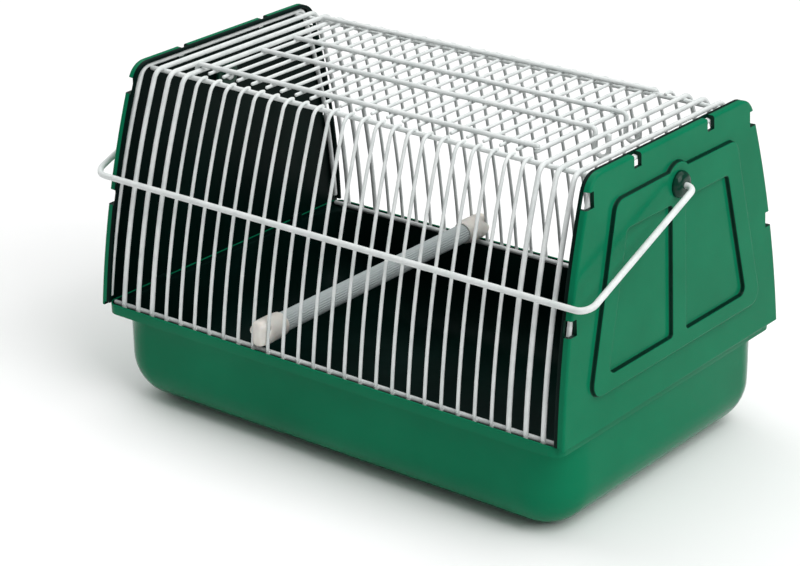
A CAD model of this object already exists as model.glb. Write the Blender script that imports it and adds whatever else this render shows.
import math

import bmesh
import bpy
from mathutils import Matrix, Vector, geometry


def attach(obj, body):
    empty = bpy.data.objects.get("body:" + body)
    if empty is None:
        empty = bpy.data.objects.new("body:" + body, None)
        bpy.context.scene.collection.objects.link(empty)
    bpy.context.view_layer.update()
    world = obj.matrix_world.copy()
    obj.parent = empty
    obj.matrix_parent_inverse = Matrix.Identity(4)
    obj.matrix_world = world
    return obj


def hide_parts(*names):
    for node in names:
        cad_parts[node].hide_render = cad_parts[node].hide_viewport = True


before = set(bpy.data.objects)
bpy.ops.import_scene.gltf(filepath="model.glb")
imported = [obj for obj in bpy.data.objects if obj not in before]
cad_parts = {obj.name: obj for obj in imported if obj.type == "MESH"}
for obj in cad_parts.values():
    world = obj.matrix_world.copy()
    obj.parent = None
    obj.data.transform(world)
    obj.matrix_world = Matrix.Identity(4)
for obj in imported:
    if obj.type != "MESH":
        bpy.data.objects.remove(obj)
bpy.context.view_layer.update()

MM = 0.001

# ---- the CAD design's own sizes, in millimetres and radians ----
TRAY_H = 38.0
CAGE_LEN, CAGE_DEP, ROOF_DEP = 210.0, 136.0, 97.0
PANEL_H, EDGE_BOW, CORNER_R = 90.0, 3.2, 8.0
LEAN = math.radians(2.1)
PLATE_T, FLANGE_D, FLANGE_T, RELIEF_T = 1.5, 4.0, 1.2, 1.6
TUB_LEN, TUB_DEP, TUB_R, TUB_WALL = 205.0, 131.0, 18.0, 1.6
RIM_TOP, RIM_H, RIM_LEN, RIM_DEP = 38.9, 4.0, 206.2, 135.6
RIM_SKIRT, RIM_LIP, LEDGE_Z = 1.3, 0.75, 37.2
PITCH, THIN_COUNT, LOOP_COUNT = 7.07, 22, 3
THIN_R, THICK_R = 0.65, 0.9
NOTCH_W, NOTCH_Y, NOTCH_Z = 4.2, 22.4, (41.5, 82.0)
FIELD_FOOT, FIELD_TOP, ARCH_R = (53.5, 13.0), (37.0, 78.5), 7.9
WINDOW_FOOT, WINDOW_TOP, WINDOW_IN = (43.0, 19.3), (31.0, 66.8), 4.4
ROOF_Z, BEND_R, SIDE_LEAN = 87.8, 4.6, math.radians(1.2)
WIRE_FOOT, END_WIRE_FOOT, END_WIRE_X, RAIL_Z = -0.5, 3.6, -2.55, 0.4
WELD = 0.15
HATCH_SIDE_Y, HATCH_MID_Y = 35.5, 9.3
PIVOT_Z, ARM_LEN, ARM_DROP, ARM_X = 73.2, 66.7, math.radians(21.2), 110.0
HANDLE_R, PERCH_R = 1.15, 3.7
BORE_R, BUSH_IN, BUSH_LIP, BUSH_OUT = HANDLE_R + 0.05, 98.6, 104.0, 106.6

CHORD = math.hypot((CAGE_DEP - ROOF_DEP)/2, PANEL_H)
EDGE_R = CHORD**2/(8*EDGE_BOW) + EDGE_BOW/2
EDGE_Y = (CAGE_DEP + ROOF_DEP)/4 - (EDGE_R - EDGE_BOW)*PANEL_H/CHORD
EDGE_Z = PANEL_H/2 - (EDGE_R - EDGE_BOW)*(CAGE_DEP - ROOF_DEP)/2/CHORD

WIRE_IN = FLANGE_T + THICK_R + 0.1
SIDE_R = EDGE_R - WIRE_IN
SIDE_FOOT = EDGE_Y + math.sqrt(SIDE_R**2 - EDGE_Z**2)
SIDE_Y = (SIDE_FOOT + (EDGE_Y - SIDE_FOOT)*math.cos(SIDE_LEAN)
          - EDGE_Z*math.sin(SIDE_LEAN))
SIDE_Z = (EDGE_Y - SIDE_FOOT)*math.sin(SIDE_LEAN) + EDGE_Z*math.cos(SIDE_LEAN)
BEND_Z = ROOF_Z - BEND_R
BEND_Y = SIDE_Y + math.sqrt((SIDE_R - BEND_R)**2 - (BEND_Z - SIDE_Z)**2)
BEND_TURN = math.atan2(BEND_Z - SIDE_Z, BEND_Y - SIDE_Y)
FIRST_THIN_X = (THIN_COUNT - 1)/2*PITCH
FIRST_LOOP_X = FIRST_THIN_X + PITCH
LATCH_R = 2*THICK_R + 0.35
FRAME_Z = ROOF_Z + LATCH_R
CROSS_Z = FRAME_Z - THICK_R - THIN_R + WELD
STUB_TURN = math.radians(108)


def fanned(x, y, z):
    """A point of the upright standing at x, which leans in with the end panels."""
    lean = LEAN*x/(CAGE_LEN/2)
    return x - z*math.sin(lean), y, TRAY_H + z*math.cos(lean)


def roof_x(x):
    """Where the upright standing at x reaches the roof."""
    return fanned(x, 0, ROOF_Z)[0]


HINGE_X = roof_x(FIRST_LOOP_X)


def edge_y(z, inset=0.0):
    """Half depth of an end panel at height z above its foot, moved in by inset."""
    return EDGE_Y + math.sqrt((EDGE_R - inset)**2 - (z - EDGE_Z)**2)


# ---- mesh building ----

class Shape:
    """Points in millimetres with faces, gathered into one mesh object."""

    def __init__(self):
        self.points, self.faces, self.kinds = [], [], []

    def add(self, points, faces, kind=0):
        base = len(self.points)
        self.points += [tuple(p) for p in points]
        self.faces += [tuple(i + base for i in f) for f in faces]
        self.kinds += [kind]*len(faces)

    def rings(self, loops, kind=0):
        """Quads between closed rings that all have the same number of points."""
        n = len(loops[0])
        faces = [(k*n + i, k*n + (i + 1) % n, (k + 1)*n + (i + 1) % n, (k + 1)*n + i)
                 for k in range(len(loops) - 1) for i in range(n)]
        self.add([p for loop in loops for p in loop], faces, kind)

    def disc(self, loop, kind=0):
        self.add(loop, [tuple(range(len(loop)))], kind)

    def fill(self, outline, holes, place, kind=0):
        """Triangles over a flat outline with holes, put in space by place."""
        loops = [outline, *holes]
        flat = [p for loop in loops for p in loop]
        tris = geometry.tessellate_polygon([[Vector((p[0], p[1], 0)) for p in loop]
                                            for loop in loops])
        self.add([place(p) for p in flat], tris, kind)

    def build(self, name, body, slot, nodes, materials, angle=40, merge=0.002):
        """One smooth object on a body. Points nearer than merge millimetres become one,
        and edges that turn more than angle degrees stay sharp."""
        mesh = bpy.data.meshes.new(name)
        mesh.from_pydata([Vector(p)*MM for p in self.points], [], self.faces)
        for polygon, kind in zip(mesh.polygons, self.kinds):
            polygon.material_index = kind
        for m in materials:
            mesh.materials.append(m)
        bm = bmesh.new()
        bm.from_mesh(mesh)
        bmesh.ops.remove_doubles(bm, verts=bm.verts, dist=merge*MM)
        loose = [v for v in bm.verts if not v.link_faces]
        bmesh.ops.delete(bm, geom=loose, context="VERTS")
        bmesh.ops.recalc_face_normals(bm, faces=bm.faces)
        bm.to_mesh(mesh)
        bm.free()
        mesh.shade_smooth()
        mesh.set_sharp_from_angle(angle=math.radians(angle))
        thing = bpy.data.objects.new(name, mesh)
        bpy.context.collection.objects.link(thing)
        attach(thing, body)
        if nodes:
            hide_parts(*nodes)
        return thing


def arc(cx, cy, r, a0, a1, steps):
    """Points of an arc in a plane, both ends included."""
    return [(cx + r*math.cos(a0 + (a1 - a0)*i/steps), cy + r*math.sin(a0 + (a1 - a0)*i/steps))
            for i in range(steps + 1)]


def thinned(path, least=0.02):
    out = [path[0]]
    for p in path[1:]:
        if (Vector(p) - Vector(out[-1])).length > least:
            out.append(p)
    return out


def wire(shape, path, r, sides=12):
    """Round wire along a path of points, with rounded ends."""
    pts = [Vector(p) for p in thinned(path)]
    tangents = []
    for i in range(len(pts)):
        ahead = pts[min(i + 1, len(pts) - 1)] - pts[i]
        behind = pts[i] - pts[max(i - 1, 0)]
        tangents.append((ahead.normalized() + behind.normalized()).normalized())
    side = tangents[0].orthogonal().normalized()
    stations = []
    for i, (p, t) in enumerate(zip(pts, tangents)):
        side = (side - t*side.dot(t)).normalized()
        stations.append((p, t, side.copy(), 1.0))
    domed = 0.7*r
    steps = [math.radians(a) for a in (20, 45, 70)]
    (p0, t0, s0, _), (p1, t1, s1, _) = stations[0], stations[-1]
    head = [(p0 - t0*domed*math.sin(a), t0, s0, math.cos(a)) for a in reversed(steps)]
    tail = [(p1 + t1*domed*math.sin(a), t1, s1, math.cos(a)) for a in steps]
    stations = head + stations + tail
    loops = []
    for p, t, s, scale in stations:
        up = t.cross(s)
        loops.append([p + (s*math.cos(a) + up*math.sin(a))*r*scale
                      for a in (2*math.pi*k/sides for k in range(sides))])
    shape.rings(loops)
    shape.disc(list(reversed(loops[0])))
    shape.disc(loops[-1])


def blob(shape, centre, axes, around=10, up=6):
    """Small closed ellipsoid: the fillet of coating where two wires are welded."""
    cx, cy, cz = centre
    ax, ay, az = axes
    loops = []
    for j in range(1, up):
        b = math.pi*j/up - math.pi/2
        loops.append([(cx + ax*math.cos(b)*math.cos(a), cy + ay*math.cos(b)*math.sin(a),
                       cz + az*math.sin(b)) for a in (2*math.pi*k/around for k in range(around))])
    shape.rings(loops)
    edges = [(1 + k, 1 + (k + 1) % around) for k in range(around)]
    shape.add([(cx, cy, cz - az), *loops[0]], [(0, b, a) for a, b in edges])
    shape.add([(cx, cy, cz + az), *loops[-1]], [(0, a, b) for a, b in edges])


def lathe(shape, profile, place, sides=40, flute=0.0, flutes=0, capped=True):
    """Turns (radius, height) points round an axis. flute is the depth of its grooves."""
    loops = []
    for r, h in profile:
        ring = []
        for k in range(sides):
            a = 2*math.pi*k/sides
            grooved = r - flute*(0.5 - 0.5*math.cos(flutes*a))
            ring.append(place(grooved*math.cos(a), grooved*math.sin(a), h))
        loops.append(ring)
    shape.rings(loops)
    if capped:
        shape.disc(list(reversed(loops[0])))
        shape.disc(loops[-1])


def offset(outline, d):
    """Moves an anticlockwise outline outwards by d."""
    out, n = [], len(outline)
    for i in range(n):
        p = Vector(outline[i])
        before = (p - Vector(outline[i - 1])).normalized()
        after = (Vector(outline[(i + 1) % n]) - p).normalized()
        n0, n1 = Vector((before.y, -before.x)), Vector((after.y, -after.x))
        out.append(tuple(p + (n0 + n1)*(d/(1 + n0.dot(n1)))))
    return out


def rounded(corners, radii, steps=8):
    """Rounds the corners of a convex anticlockwise outline."""
    out, n = [], len(corners)
    for i, r in enumerate(radii):
        v = Vector(corners[i])
        u = (Vector(corners[i - 1]) - v).normalized()
        w = (Vector(corners[(i + 1) % n]) - v).normalized()
        half = math.acos(u.dot(w))/2
        c = v + (u + w).normalized()*r/math.sin(half)
        start = v + u*r/math.tan(half) - c
        a0 = math.atan2(start.y, start.x)
        turn = math.pi - 2*half
        out += arc(c.x, c.y, r, a0, a0 + turn, steps)
    return out


# ---- materials ----

def material(name, colour, roughness, build, **sockets):
    """Principled material. colour and roughness are what shows before build links them."""
    m = bpy.data.materials.new(name)
    m.use_nodes = True
    nodes, links = m.node_tree.nodes, m.node_tree.links
    shader = nodes["Principled BSDF"]
    shader.inputs["Base Color"].default_value = (*colour, 1)
    shader.inputs["Roughness"].default_value = roughness
    for key, value in sockets.items():
        shader.inputs[key.replace("_", " ")].default_value = value
    build(nodes, links, shader)
    return m


def noise_node(nodes, links, scale, detail=3.0, rough=0.5, stretch=(1, 1, 1)):
    place = nodes.new("ShaderNodeTexCoord")
    mapping = nodes.new("ShaderNodeMapping")
    mapping.inputs["Scale"].default_value = stretch
    noise = nodes.new("ShaderNodeTexNoise")
    noise.inputs["Scale"].default_value = scale
    noise.inputs["Detail"].default_value = detail
    noise.inputs["Roughness"].default_value = rough
    links.new(place.outputs["Object"], mapping.inputs["Vector"])
    links.new(mapping.outputs["Vector"], noise.inputs["Vector"])
    return noise.outputs["Fac"]


def ramp(nodes, links, source, stops):
    node = nodes.new("ShaderNodeValToRGB")
    while len(node.color_ramp.elements) < len(stops):
        node.color_ramp.elements.new(0.5)
    for element, (at, colour) in zip(node.color_ramp.elements, stops):
        element.position = at
        element.color = (*colour, 1)
    links.new(source, node.inputs["Fac"])
    return node.outputs["Color"]


def grey_range(nodes, links, source, low, high):
    node = nodes.new("ShaderNodeMapRange")
    node.inputs["From Min"].default_value, node.inputs["From Max"].default_value = 0.3, 0.7
    node.inputs["To Min"].default_value, node.inputs["To Max"].default_value = low, high
    links.new(source, node.inputs["Value"])
    return node.outputs["Result"]


def bump(nodes, links, shader, source, distance):
    node = nodes.new("ShaderNodeBump")
    node.inputs["Distance"].default_value = distance
    node.inputs["Strength"].default_value = 1.0
    links.new(source, node.inputs["Height"])
    links.new(node.outputs["Normal"], shader.inputs["Normal"])


def moulded(dark, base, light, rough_low, rough_high):
    """Glossy moulded plastic: faint clouds of colour, uneven gloss, fine orange peel
    and sparse scuffs that are duller and paler."""
    def build(nodes, links, shader):
        clouds = noise_node(nodes, links, 28, 4)
        colour = ramp(nodes, links, clouds, [(0.3, dark), (0.52, base), (0.75, light)])
        scuffs = noise_node(nodes, links, 900, 2, 0.6, (0.12, 0.12, 1.6))
        mask = nodes.new("ShaderNodeMapRange")
        mask.inputs["From Min"].default_value, mask.inputs["From Max"].default_value = 0.70, 0.78
        links.new(scuffs, mask.inputs["Value"])
        mix = nodes.new("ShaderNodeMix")
        mix.data_type = "RGBA"
        faint = nodes.new("ShaderNodeMath")
        faint.operation = "MULTIPLY"
        faint.inputs[1].default_value = 0.10
        links.new(mask.outputs["Result"], faint.inputs[0])
        links.new(faint.outputs["Value"], mix.inputs["Factor"])
        links.new(colour, mix.inputs["A"])
        mix.inputs["B"].default_value = (*[min(1, c*2.2 + 0.02) for c in light], 1)
        links.new(mix.outputs["Result"], shader.inputs["Base Color"])
        gloss = noise_node(nodes, links, 90, 3)
        links.new(grey_range(nodes, links, gloss, rough_low, rough_high),
                  shader.inputs["Roughness"])
        orange_peel = 0.00002
        bump(nodes, links, shader, noise_node(nodes, links, 420, 2), orange_peel)
    return build


def coated(base, shade):
    """Dipped white coat on wire: slow waves of thickness and faint greying."""
    def build(nodes, links, shader):
        waves = noise_node(nodes, links, 160, 3)
        colour = ramp(nodes, links, waves, [(0.32, shade), (0.6, base)])
        links.new(colour, shader.inputs["Base Color"])
        gloss = noise_node(nodes, links, 300, 2)
        links.new(grey_range(nodes, links, gloss, 0.22, 0.38), shader.inputs["Roughness"])
        bump(nodes, links, shader, noise_node(nodes, links, 700, 3), 0.00004)
    return build


def satin(base, shade, grain):
    """Satin plastic with a fine grain drawn out along Y."""
    def build(nodes, links, shader):
        streaks = noise_node(nodes, links, 240, 4, 0.6, grain)
        colour = ramp(nodes, links, streaks, [(0.3, shade), (0.65, base)])
        links.new(colour, shader.inputs["Base Color"])
        links.new(grey_range(nodes, links, streaks, 0.38, 0.55), shader.inputs["Roughness"])
        bump(nodes, links, shader, noise_node(nodes, links, 900, 3, 0.5, grain), 0.00003)
    return build


GREEN = material("green_plastic", (0.003, 0.156, 0.072), 0.3,
                 moulded((0.0025, 0.140, 0.064), (0.003, 0.156, 0.072),
                         (0.004, 0.172, 0.080), 0.12, 0.22),
                 IOR=1.5, Specular_IOR_Level=0.05)
GREEN_WALL = material("green_plastic_walls", (0.0015, 0.024, 0.014), 0.35,
                      moulded((0.0010, 0.018, 0.010), (0.0015, 0.024, 0.014),
                              (0.002, 0.032, 0.018), 0.24, 0.34),
                      IOR=1.5, Specular_IOR_Level=0.10)
GREEN_IN = material("green_plastic_inside", (0.0004, 0.008, 0.006), 0.5,
                    moulded((0.0003, 0.005, 0.004), (0.0005, 0.008, 0.006),
                            (0.0008, 0.011, 0.009), 0.35, 0.50),
                    IOR=1.5, Specular_IOR_Level=0.05)
DARK = material("dark_green_plastic", (0.002, 0.035, 0.02), 0.3,
                moulded((0.001, 0.026, 0.015), (0.002, 0.035, 0.020),
                        (0.003, 0.046, 0.027), 0.16, 0.26), IOR=1.5, Specular_IOR_Level=0.20)
WHITE = material("white_coated_wire", (0.72, 0.75, 0.74), 0.3,
                 coated((0.72, 0.75, 0.74), (0.62, 0.66, 0.65)), IOR=1.5,
                 Specular_IOR_Level=0.30)
PERCH = material("perch_grey_plastic", (0.46, 0.51, 0.51), 0.45,
                 satin((0.46, 0.51, 0.51), (0.37, 0.42, 0.42), (6, 0.15, 6)))
IVORY = material("ivory_plastic", (0.72, 0.70, 0.65), 0.4,
                 satin((0.74, 0.72, 0.67), (0.66, 0.63, 0.58), (1, 1, 1)),
                 Subsurface_Weight=0.1, Subsurface_Scale=0.004)


# ---- end panels ----

def on_panel(side, x, y, z):
    """From an end panel's own frame, outer face at x = 0 and foot at z = 0."""
    return (side*(CAGE_LEN/2 + x*math.cos(LEAN) - z*math.sin(LEAN)), y,
            TRAY_H + x*math.sin(LEAN) + z*math.cos(LEAN))


def panel_outline(inset, foot, steps=30):
    """Anticlockwise outline of the plate in YZ, moved in by inset."""
    r, zc = CORNER_R - inset, PANEL_H - CORNER_R
    a0 = math.asin((zc - EDGE_Z)/(EDGE_R - CORNER_R))
    yc = EDGE_Y + (EDGE_R - CORNER_R)*math.cos(a0)
    zt = zc + r*math.sin(a0)
    half = [(edge_y(z, inset), z) for z in (foot + (zt - foot)*i/steps for i in range(steps))]
    half += arc(yc, zc, r, a0, math.pi/2, 12)
    return half + [(-y, z) for y, z in reversed(half)]


def field_outline():
    """Raised field with an arch over the handle's pivot."""
    (foot_y, foot_z), (top_y, top_z) = FIELD_FOOT, FIELD_TOP
    steps = 8
    quad = rounded([(-foot_y, foot_z), FIELD_FOOT, FIELD_TOP, (-top_y, top_z)], [5.0]*4, steps)
    start = math.asin((top_z - PIVOT_Z)/ARCH_R) + 0.05
    arch = arc(0, PIVOT_Z, ARCH_R, start, math.pi - start, 18)
    before_arch = 3*(steps + 1)
    return quad[:before_arch] + arch + quad[before_arch:]


def window_outline(side):
    corners = [(WINDOW_IN, WINDOW_FOOT[1]), WINDOW_FOOT, WINDOW_TOP, (WINDOW_IN, WINDOW_TOP[1])]
    radii = [1.2, 2.6, 1.8, 1.2]
    if side < 0:
        corners = [(-y, z) for y, z in reversed(corners)]
        radii.reverse()
    return rounded(corners, radii)


# Section of a field's wall: how far it stands out from the outline, and its height. The
# flat faces on both sides of it begin GUARD further on, so that the shading of the
# round edges stays narrow.
WALL_PROFILE = [(0.48, 0.0), (0.22, 0.06), (0.06, 0.25), (0.0, 0.55), (-0.06, 1.10),
                (-0.12, 1.32), (-0.26, 1.52), (-0.5, RELIEF_T)]
GUARD = 0.35


def cut_away(panel, cutter):
    """Takes the cutter's blocks out of the panel, whose materials they share."""
    mesh = bpy.data.meshes.new("cuts")
    mesh.from_pydata([Vector(p)*MM for p in cutter.points], [], cutter.faces)
    for polygon, kind in zip(mesh.polygons, cutter.kinds):
        polygon.material_index = kind
    for m in panel.data.materials:
        mesh.materials.append(m)
    bm = bmesh.new()
    bm.from_mesh(mesh)
    bmesh.ops.recalc_face_normals(bm, faces=bm.faces)
    bm.to_mesh(mesh)
    bm.free()
    cuts = bpy.data.objects.new("cuts", mesh)
    bpy.context.collection.objects.link(cuts)
    modifier = panel.modifiers.new("cuts", "BOOLEAN")
    modifier.operation, modifier.solver, modifier.object = "DIFFERENCE", "EXACT", cuts
    bpy.context.view_layer.update()
    final = bpy.data.meshes.new_from_object(panel.evaluated_get(
        bpy.context.evaluated_depsgraph_get()))
    panel.modifiers.clear()
    panel.data = final
    final.set_sharp_from_angle(angle=math.radians(40))
    bpy.data.objects.remove(cuts)


def end_panel(side, name):
    shape = Shape()

    def put(outline, x):
        return [on_panel(side, x, y, z) for y, z in outline]

    # the rim of the plate, turned in round the edge as a flange
    lip = 0.9
    rim = [(lip + GUARD, 0.55 + GUARD, 0.0)]
    for k in range(6):
        a = math.pi/2*k/5
        rim.append((lip*(1 - math.sin(a)), 0.55*(1 - math.sin(a)), -lip*(1 - math.cos(a))))
    rim += [(0, 0, -2.4), (0, 0, -3.7), (0.1, 0.1, -3.9), (0.35, 0.3, -FLANGE_D),
            (FLANGE_T - 0.35, 0.5, -FLANGE_D), (FLANGE_T - 0.1, 0.6, -3.9),
            (FLANGE_T, 0.7, -3.7), (FLANGE_T, 0.7, -PLATE_T - 0.35),
            (FLANGE_T + 0.12, 0.8, -PLATE_T - 0.1), (FLANGE_T + 0.4, 1.0, -PLATE_T),
            (FLANGE_T + 0.75, 1.3, -PLATE_T)]
    outer = rim[:8]
    inner = rim[7:]
    shape.rings([put(panel_outline(d, f), x) for d, f, x in outer], 0)
    shape.rings([put(panel_outline(d, f), x) for d, f, x in inner], 2)

    field = field_outline()
    windows = [window_outline(1), window_outline(-1)]
    hole_r = 4.1
    hole = [(hole_r*math.cos(a), PIVOT_Z + hole_r*math.sin(a))
            for a in (2*math.pi*k/40 for k in range(40))]

    shape.fill(panel_outline(*rim[0][:2]), [offset(field, WALL_PROFILE[0][0] + GUARD)],
               lambda p: on_panel(side, 0, *p), 0)
    walls = [(WALL_PROFILE[0][0] + GUARD, 0.0), *WALL_PROFILE,
             (WALL_PROFILE[-1][0] - GUARD, RELIEF_T)]
    for (d0, x0), (d1, x1) in zip(walls, walls[1:]):
        steep = 1 if abs(x1 - x0) > 0.15 else 0
        shape.rings([put(offset(field, d0), x0), put(offset(field, d1), x1)], steep)
        for w in windows:
            shape.rings([put(offset(w, -d0), x0), put(offset(w, -d1), x1)], steep)
    shape.fill(offset(field, walls[-1][0]), [*[offset(w, -walls[-1][0]) for w in windows],
               offset(hole, 0.6)], lambda p: on_panel(side, RELIEF_T, *p), 0)
    for w in windows:
        shape.fill(offset(w, -walls[0][0]), [], lambda p: on_panel(side, 0, *p), 0)
    shape.rings([put(offset(hole, d), x) for d, x in
                 ((0.6, RELIEF_T), (0.2, RELIEF_T), (0.05, RELIEF_T - 0.05), (0, RELIEF_T - 0.2),
                  (0, -PLATE_T + 0.2), (0.05, -PLATE_T + 0.05), (0.2, -PLATE_T),
                  (0.6, -PLATE_T))], 1)
    shape.fill(panel_outline(*rim[-1][:2]), [offset(hole, 0.6)],
               lambda p: on_panel(side, -PLATE_T, *p), 2)

    panel = shape.build(name, "hood", "green_plastic", [name], [GREEN, GREEN_WALL, GREEN_IN])

    # slots through the edge for the end wire, and the foot without its flange
    cutter = Shape()

    def block(x0, x1, y0, y1, z0, z1, kind=1):
        corners = [(x, y, z) for x in (x0, x1) for y in (y0, y1) for z in (z0, z1)]
        cutter.add([on_panel(side, *c) for c in corners],
                   [(0, 1, 3, 2), (4, 6, 7, 5), (0, 4, 5, 1), (2, 3, 7, 6), (0, 2, 6, 4),
                    (1, 5, 7, 3)], kind)

    for s in (-1, 1):
        y = s*NOTCH_Y
        block(-3, 6, y - NOTCH_W/2, y + NOTCH_W/2, PANEL_H - 4.6, PANEL_H + 1.4)
        for z in NOTCH_Z:
            low, high = sorted((s*(edge_y(z) - 3.4), s*(edge_y(z) + 2.6)))
            block(-3, 6, low, high, z - 2.8, z + 2.8)
    flange_foot = 1.3
    block(-FLANGE_D - 1, -PLATE_T, -CAGE_DEP/2 - 1, CAGE_DEP/2 + 1, -1, flange_foot, 2)
    cut_away(panel, cutter)


end_panel(-1, "left_end_panel")
end_panel(1, "right_end_panel")


# ---- pivot bushes ----

def pivot_bush(side, name):
    shape = Shape()
    first = (BORE_R, BUSH_IN + 0.1)
    flange = [(BORE_R + 0.2, BUSH_IN), (5.2, BUSH_IN), (5.42, BUSH_IN + 0.08),
              (5.5, BUSH_IN + 0.3), (5.5, BUSH_IN + 0.9), (5.42, BUSH_IN + 1.12),
              (5.2, BUSH_IN + 1.2), (4.05, BUSH_IN + 1.25), (4.0, BUSH_IN + 1.4)]
    lip = [(4.0, BUSH_LIP - 0.1), (4.55, BUSH_LIP), (4.75, BUSH_LIP + 0.08),
           (4.8, BUSH_LIP + 0.3), (4.68, BUSH_LIP + 0.8), (4.42, BUSH_LIP + 1.4)]
    nose = [(4.0, BUSH_OUT - 0.65), (3.45, BUSH_OUT - 0.25), (2.8, BUSH_OUT - 0.04),
            (2.0, BUSH_OUT), (BORE_R + 0.25, BUSH_OUT - 0.02),
            (BORE_R + 0.05, BUSH_OUT - 0.1), (BORE_R, BUSH_OUT - 0.3)]
    lathe(shape, [first, *flange, *lip, *nose, first],
          lambda u, v, h: (side*h, u, TRAY_H + PIVOT_Z + v), 48, capped=False)
    return shape.build(name, "hood", "dark_plastic", [name], [DARK])


pivot_bush(-1, "left_pivot_bush")
pivot_bush(1, "right_pivot_bush")


# ---- tray ----

def rounded_rectangle(half_x, half_y, r, z, steps=14):
    out = []
    for sx, sy, a in ((1, -1, -math.pi/2), (1, 1, 0), (-1, 1, math.pi/2), (-1, -1, math.pi)):
        out += arc(sx*(half_x - r), sy*(half_y - r), r, a, a + math.pi/2, steps)
    return [(x, y, z) for x, y in out]


def base_tray():
    """Rings of (half length, half depth, corner radius, height), from the middle of the
    underside up over the rim and down to the middle of the floor."""
    shape = Shape()
    hx, hy = TUB_LEN/2, TUB_DEP/2
    rx, ry = RIM_LEN/2, RIM_DEP/2
    rim_low = RIM_TOP - RIM_H
    web = LEDGE_Z - 1.2
    outside = []
    for k in range(13):
        a = math.pi/2*k/12
        d = TUB_R*(1 - math.sin(a))
        outside.append((hx - d, hy - d, max(TUB_R*math.sin(a), 0.02), TUB_R*(1 - math.cos(a))))
    outside += [(hx, hy, TUB_R, 26), (hx, hy, TUB_R, web - 0.4),
                (hx + 0.01, hy + 0.1, 17.8, web - 0.15), (hx + 0.02, hy + 0.4, 17.4, web)]
    gx, gy = max(rx - RIM_SKIRT, hx + 0.02), ry - RIM_SKIRT
    outside += [(gx, gy - 0.2, 4.2, web), (gx, gy, 4.0, web - 0.2),
                (gx, gy, 4.0, rim_low + 0.2), (gx + 0.05, gy + 0.15, 4.1, rim_low + 0.03),
                (gx + 0.25, gy + 0.5, 4.3, rim_low), (rx - 0.3, ry - 0.4, 4.6, rim_low),
                (rx - 0.1, ry - 0.12, 4.9, rim_low + 0.1), (rx, ry, 5.0, rim_low + 0.4),
                (rx, ry, 5.0, RIM_TOP - 1.0), (rx, ry, 5.0, RIM_TOP - 0.3)]
    for k in range(1, 5):
        a = math.pi/2*k/4
        d = 0.3*(1 - math.cos(a))
        outside.append((rx - d, ry - d, 5.0 - d, RIM_TOP - 0.3 + 0.3*math.sin(a)))
    ix, iy, ir = hx - TUB_WALL, hy - TUB_WALL, TUB_R - TUB_WALL
    lx, ly = rx - RIM_LIP, ry - RIM_LIP
    inside = [(lx + 0.2, ly + 0.2, 3.7, RIM_TOP), (lx + 0.05, ly + 0.05, 3.55, RIM_TOP - 0.06),
              (lx, ly, 3.5, RIM_TOP - 0.25), (lx, ly, 3.5, LEDGE_Z + 0.2),
              (lx - 0.06, ly - 0.06, 3.44, LEDGE_Z + 0.06), (lx - 0.2, ly - 0.2, 3.3, LEDGE_Z),
              (ix + 0.5, iy + 0.5, ir + 0.5, LEDGE_Z),
              (ix + 0.15, iy + 0.15, ir + 0.15, LEDGE_Z - 0.12), (ix, iy, ir, LEDGE_Z - 0.5),
              (ix, iy, ir, TUB_WALL + ir + 6)]
    for k in range(13):
        a = math.pi/2*(1 - k/12)
        d = ir*(1 - math.sin(a))
        inside.append((ix - d, iy - d, max(ir*math.sin(a), 0.02), TUB_WALL + ir*(1 - math.cos(a))))
    loops_out = [rounded_rectangle(*ring) for ring in outside]
    loops_in = [rounded_rectangle(*ring) for ring in inside]
    shape.rings(loops_out, 0)
    shape.rings([loops_out[-1], *loops_in[:3]], 0)
    shape.rings(loops_in[2:], 1)
    shape.disc(list(reversed(loops_out[0])), 0)
    shape.disc(loops_in[-1], 1)
    return shape.build("base_tray", "tray", "green_plastic", ["base_tray"], [GREEN, GREEN_IN],
                       merge=0.06)


def tray_clips():
    shape = Shape()
    x0, top = RIM_LEN/2 - RIM_LIP - 0.7, LEDGE_Z + 3.4
    for sx in (-1, 1):
        for sy in (-1, 1):
            loops = []
            for z, d in ((LEDGE_Z, 0), (top - 0.4, 0), (top - 0.15, 0.1), (top, 0.35)):
                loops.append([(sx*x0 + x, sy*40 + y, z_) for x, y, z_ in
                              rounded_rectangle(0.7 - d, 3 - d, 0.35, z, 3)])
            shape.rings(loops)
            shape.disc(list(reversed(loops[0])))
            shape.disc(loops[-1])
    return shape.build("tray_clips", "tray", "green_plastic", ["tray_clips"], [GREEN_IN])


base_tray()
tray_clips()


# ---- wire hood ----

def side_path(foot, bend_end=math.pi/2, side_steps=18, bend_steps=10):
    """One side of an upright in (y, z) above the panels' feet, from foot to bend."""
    a0 = math.asin((foot - SIDE_Z)/SIDE_R)
    return (arc(SIDE_Y, SIDE_Z, SIDE_R, a0, BEND_TURN, side_steps)[:-1]
            + arc(BEND_Y, BEND_Z, BEND_R, BEND_TURN, bend_end, bend_steps))


def loop_path(foot):
    back = side_path(foot)
    return back + [(-y, z) for y, z in reversed(back)]


BOTTOM_RAIL_Y = edge_y(RAIL_Z, WIRE_IN) - THIN_R - THICK_R + WELD
TOP_RAIL_Y, TOP_RAIL_Z = BEND_Y - 0.9, ROOF_Z - THIN_R - THICK_R + WELD


def upright_grille(s, name):
    shape = Shape()
    for i in range(THIN_COUNT):
        x = -FIRST_THIN_X + i*PITCH
        wire(shape, [fanned(x, s*y, z) for y, z in side_path(WIRE_FOOT, STUB_TURN)], THIN_R)
        blob(shape, fanned(x, s*(BOTTOM_RAIL_Y + THICK_R - 0.05), RAIL_Z), (0.95, 0.55, 0.8))
        blob(shape, fanned(x, s*TOP_RAIL_Y, TOP_RAIL_Z + THICK_R - 0.05), (0.95, 0.8, 0.5))
    return shape.build(name, "hood", "white_wire", [name], [WHITE])


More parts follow.
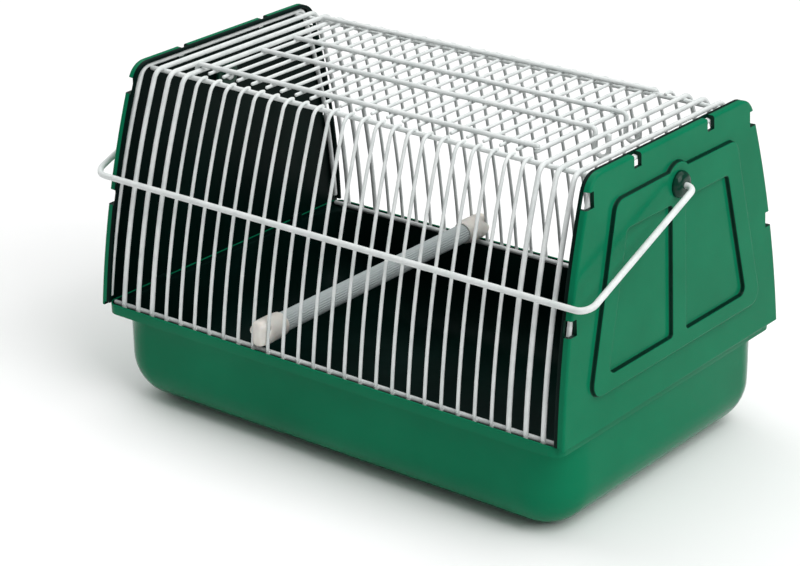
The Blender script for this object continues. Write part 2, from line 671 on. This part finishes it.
def roof_loops(side, name):
    shape = Shape()
    for i in range(LOOP_COUNT):
        x = side*(FIRST_LOOP_X + i*PITCH)
        wire(shape, [fanned(x, y, z) for y, z in loop_path(WIRE_FOOT)], THICK_R, 14)
    return shape.build(name, "hood", "white_wire", [name], [WHITE])


def end_wire(side, name):
    shape = Shape()
    wire(shape, [on_panel(side, END_WIRE_X, y, z) for y, z in loop_path(END_WIRE_FOOT)],
         THICK_R, 14)
    return shape.build(name, "hood", "white_wire", [name], [WHITE])


def rail(name, half, y, z):
    """Rail along X that ends a little before the CAD one, to leave room for its domed ends."""
    shape = Shape()
    wire(shape, [(-half + 0.6, y, z), (-half/3, y, z), (half/3, y, z), (half - 0.6, y, z)],
         THICK_R, 14)
    return shape.build(name, "hood", "white_wire", [name], [WHITE])


for s, word in ((-1, "front"), (1, "back")):
    upright_grille(s, word + "_wires")
    rail(word + "_bottom_rail", CAGE_LEN/2 + END_WIRE_X - 0.8, s*BOTTOM_RAIL_Y, TRAY_H + RAIL_Z)
    rail(word + "_top_rail", CAGE_LEN/2 + END_WIRE_X - ROOF_Z*math.sin(LEAN), s*TOP_RAIL_Y,
         TRAY_H + TOP_RAIL_Z)
for s, word in ((-1, "left"), (1, "right")):
    roof_loops(s, word + "_roof_loops")
    end_wire(s, word + "_end_wire")


# ---- roof hatch ----

HATCH_LONG_Y = (-HATCH_SIDE_Y, -HATCH_MID_Y, HATCH_MID_Y, HATCH_SIDE_Y)


def hatch_frame():
    shape = Shape()
    z = TRAY_H + FRAME_Z
    end_x = roof_x(FIRST_THIN_X) - 1.2
    for s in (-1, 1):
        y = s*HATCH_SIDE_Y
        bow = [(-HINGE_X - LATCH_R*math.sin(a), y, TRAY_H + ROOF_Z + LATCH_R*math.cos(a))
               for a in (math.pi/2*k/8 for k in range(9))]
        path = [(end_x + 0.3, y, z), (20, y, z), (-30, y, z), *bow,
                (-HINGE_X - LATCH_R, y, TRAY_H + ROOF_Z - 0.8)]
        wire(shape, path, THICK_R, 14)
    low = TRAY_H + FRAME_Z - 2*THICK_R + WELD
    wire(shape, [(end_x, -HATCH_SIDE_Y - 0.3, low), (end_x, 0, low),
                 (end_x, HATCH_SIDE_Y + 0.3, low)], THICK_R, 14)
    for y in HATCH_LONG_Y:
        blob(shape, (end_x, y, low + THICK_R), (1.1, 1.1, 0.6))
    return shape.build("hatch_frame", "hatch", "white_wire", ["hatch_frame"], [WHITE])


def hatch_cross_wires():
    shape = Shape()
    z = TRAY_H + CROSS_Z
    half = BEND_Y - 2.6
    for i in range(THIN_COUNT - 1):
        x = roof_x(-FIRST_THIN_X + i*PITCH)
        wire(shape, [(x, -half + 0.4, z), (x, -half/3, z), (x, half/3, z), (x, half - 0.4, z)],
             THIN_R)
        for y in HATCH_LONG_Y:
            blob(shape, (x, y, z + 0.55), (0.9, 1.0, 0.5))
    return shape.build("hatch_cross_wires", "hatch", "white_wire", ["hatch_cross_wires"],
                       [WHITE])


def hatch_mid_wire(y, name):
    shape = Shape()
    hook_r, elbow, hook_drop, tip = 2.75, 1.5, 7.5, 1.2
    left = HINGE_X - hook_r
    bottom = ROOF_Z - hook_drop + hook_r
    path = [(-roof_x(FIRST_THIN_X) - 0.3, FRAME_Z), (-30, FRAME_Z), (20, FRAME_Z)]
    path += [(left - elbow + elbow*math.sin(a), FRAME_Z - elbow + elbow*math.cos(a))
             for a in (math.pi/2*k/6 for k in range(7))]
    path += [(HINGE_X - hook_r*math.cos(a), bottom - hook_r*math.sin(a))
             for a in (math.pi*k/14 for k in range(15))]
    path += [(HINGE_X + hook_r, ROOF_Z + tip - 0.6)]
    wire(shape, [(x, y, TRAY_H + z) for x, z in path], THICK_R, 14)
    return shape.build(name, "hatch", "white_wire", [name], [WHITE])


hatch_frame()
hatch_cross_wires()
hatch_mid_wire(-HATCH_MID_Y, "hatch_front_mid_wire")
hatch_mid_wire(HATCH_MID_Y, "hatch_back_mid_wire")


# ---- handle ----

def carry_handle():
    shape = Shape()
    elbow, corner, start = 3.0, 5.0, 98.4
    half = [(start, 0.0), (101.0, 0.0), (ARM_X - elbow - 0.8, 0.0)]
    half += [(ARM_X - elbow + elbow*math.sin(a), -elbow + elbow*math.cos(a))
             for a in (math.pi/2*k/10 for k in range(11))]
    half += [(ARM_X, -22.0), (ARM_X, -44.0)]
    half += [(ARM_X - corner + corner*math.cos(a), -ARM_LEN + corner - corner*math.sin(a))
             for a in (math.pi/2*k/12 for k in range(13))]
    half += [(60.0, -ARM_LEN), (20.0, -ARM_LEN)]
    path = half + [(-x, y) for x, y in reversed(half)]

    def place(x, y, up=0.0):
        """From the handle's own frame: pivots on the X axis and arms towards -Y."""
        c, s = math.cos(ARM_DROP), math.sin(ARM_DROP)
        return (x, y*c - up*s, TRAY_H + PIVOT_Z + y*s + up*c)

    wire(shape, [place(x, y) for x, y in path], HANDLE_R, 18)
    # heads pressed on the ends of the wire, inside the panels
    for side in (-1, 1):
        profile = [(0.9, 96.95), (1.6, 97.0), (2.0, 97.15), (2.1, 97.4), (2.1, 97.9),
                   (2.0, 98.1), (1.7, 98.2), (1.2, 98.3)]
        lathe(shape, profile, lambda u, v, h: place(side*h, u, v), 24)
    return shape.build("carry_handle", "handle", "white_wire", ["carry_handle"], [WHITE])


carry_handle()


# ---- perch ----

PERCH_X, PERCH_Z = -4*PITCH, TRAY_H + 7.0


def perch_rod():
    shape = Shape()
    half, flutes = 57.0, 26
    full = half - 0.9
    profile = [(PERCH_R - 0.5, -half), (PERCH_R - 0.1, -half + 0.4),
               *[(PERCH_R, -full + 2*full*k/10) for k in range(11)],
               (PERCH_R - 0.1, half - 0.4), (PERCH_R - 0.5, half)]
    lathe(shape, profile, lambda u, v, h: (PERCH_X + u, h, PERCH_Z + v), flutes*8,
          flute=0.28, flutes=flutes)
    return shape.build("perch_rod", "hood", "perch_plastic", ["perch_rod"], [PERCH], angle=60)


def perch_cap(s, name):
    """Soft knob that swells from a collar round the rod to its two grooves for uprights."""
    shape = Shape()
    inner, outer, r = 54.0, 67.3, 4.8
    profile = [(PERCH_R + 0.02, inner + 0.3), (PERCH_R + 0.35, inner), (4.2, inner + 0.15),
               (4.5, inner + 0.8), (4.65, inner + 2.0), (r, inner + 3.5), (r, inner + 5.5),
               (r, 61.0), (r, 63.5), (4.75, 65.2), (4.6, 66.2), (4.4, 66.9), (3.4, 67.2),
               (2.0, outer), (0.6, outer)]
    sides, groove_from, groove_w = 64, 63.0, 0.85
    loops = []
    for radius, h in profile:
        ring = []
        for k in range(sides):
            a = 2*math.pi*k/sides
            x, y, z = radius*math.cos(a), h, radius*math.sin(a)
            if h > groove_from:
                off_wire = min(abs(x - PITCH/2), abs(x + PITCH/2))
                y -= math.exp(-(off_wire/groove_w)**2)*(h - groove_from)*0.95
            ring.append((PERCH_X + x, s*y, PERCH_Z + z))
        loops.append(ring)
    shape.rings(loops)
    shape.disc(list(reversed(loops[0])))
    shape.disc(loops[-1])
    return shape.build(name, "hood", "ivory_plastic", [name], [IVORY], angle=70)


perch_rod()
perch_cap(-1, "perch_front_cap")
perch_cap(1, "perch_back_cap")


# ---- floor, light and camera ----

def floor():
    mesh = bpy.data.meshes.new("floor")
    bm = bmesh.new()
    bmesh.ops.create_grid(bm, x_segments=2, y_segments=2, size=3.0)
    bm.to_mesh(mesh)
    bm.free()
    thing = bpy.data.objects.new("floor", mesh)
    thing.location.z = -0.0002
    bpy.context.collection.objects.link(thing)

    def build(nodes, links, shader):
        clouds = noise_node(nodes, links, 6, 3)
        pale = ramp(nodes, links, clouds, [(0.3, (0.90, 0.90, 0.90)), (0.7, (0.93, 0.93, 0.93))])
        links.new(pale, shader.inputs["Base Color"])
    mesh.materials.append(material("floor", (0.92, 0.92, 0.92), 0.8, build))


def area_light(name, at, size, power, target=(0, 0, 0.06)):
    """Soft box at a place in metres, turned to the target."""
    data = bpy.data.lights.new(name, "AREA")
    data.shape, data.size, data.size_y = "RECTANGLE", *size
    data.energy = power
    thing = bpy.data.objects.new(name, data)
    thing.location = at
    thing.rotation_mode = "QUATERNION"
    thing.rotation_quaternion = (Vector(target) - Vector(at)).to_track_quat("-Z", "Y")
    bpy.context.collection.objects.link(thing)


def camera():
    """Camera round the cage's middle. Distance and pans are in millimetres."""
    azimuth, elevation, roll = math.radians(38.71), math.radians(22.77), math.radians(-0.92)
    distance, pan_right, pan_up = 918.48, 12.37, 31.07
    middle = Vector((0, 0, 83.085))
    back = Vector((math.sin(azimuth)*math.cos(elevation),
                   -math.cos(azimuth)*math.cos(elevation), math.sin(elevation)))
    right = Vector((math.cos(azimuth), math.sin(azimuth), 0))
    up = back.cross(right)
    right, up = (right*math.cos(roll) + up*math.sin(roll),
                 up*math.cos(roll) - right*math.sin(roll))
    place = (middle + back*distance - right*pan_right - up*pan_up)*MM
    data = bpy.data.cameras.new("camera")
    data.sensor_width, data.lens = 36.0, 114.09
    data.clip_start, data.clip_end = 0.05, 20
    thing = bpy.data.objects.new("camera", data)
    turned = Matrix((right, up, back)).transposed().to_4x4()
    thing.matrix_world = Matrix.Translation(place) @ turned
    bpy.context.collection.objects.link(thing)
    bpy.context.scene.camera = thing


floor()
area_light("key", (1.25, -0.2, 1.15), (1.3, 1.3), 21, (0.05, 0, 0.06))
area_light("front", (-0.5, -1.6, 0.75), (1.2, 0.8), 0.6)
area_light("top", (0.0, 0.3, 1.7), (2.4, 2.4), 26)
area_light("left", (-1.4, 0.2, 0.8), (1.6, 1.6), 10)
camera()

world = bpy.data.worlds.new("world")
world.use_nodes = True
world.node_tree.nodes["Background"].inputs["Color"].default_value = (1, 1, 1, 1)
world.node_tree.nodes["Background"].inputs["Strength"].default_value = 0.18
bpy.context.scene.world = world
bpy.context.scene.view_settings.view_transform = "Standard"
bpy.context.scene.view_settings.look = "None"
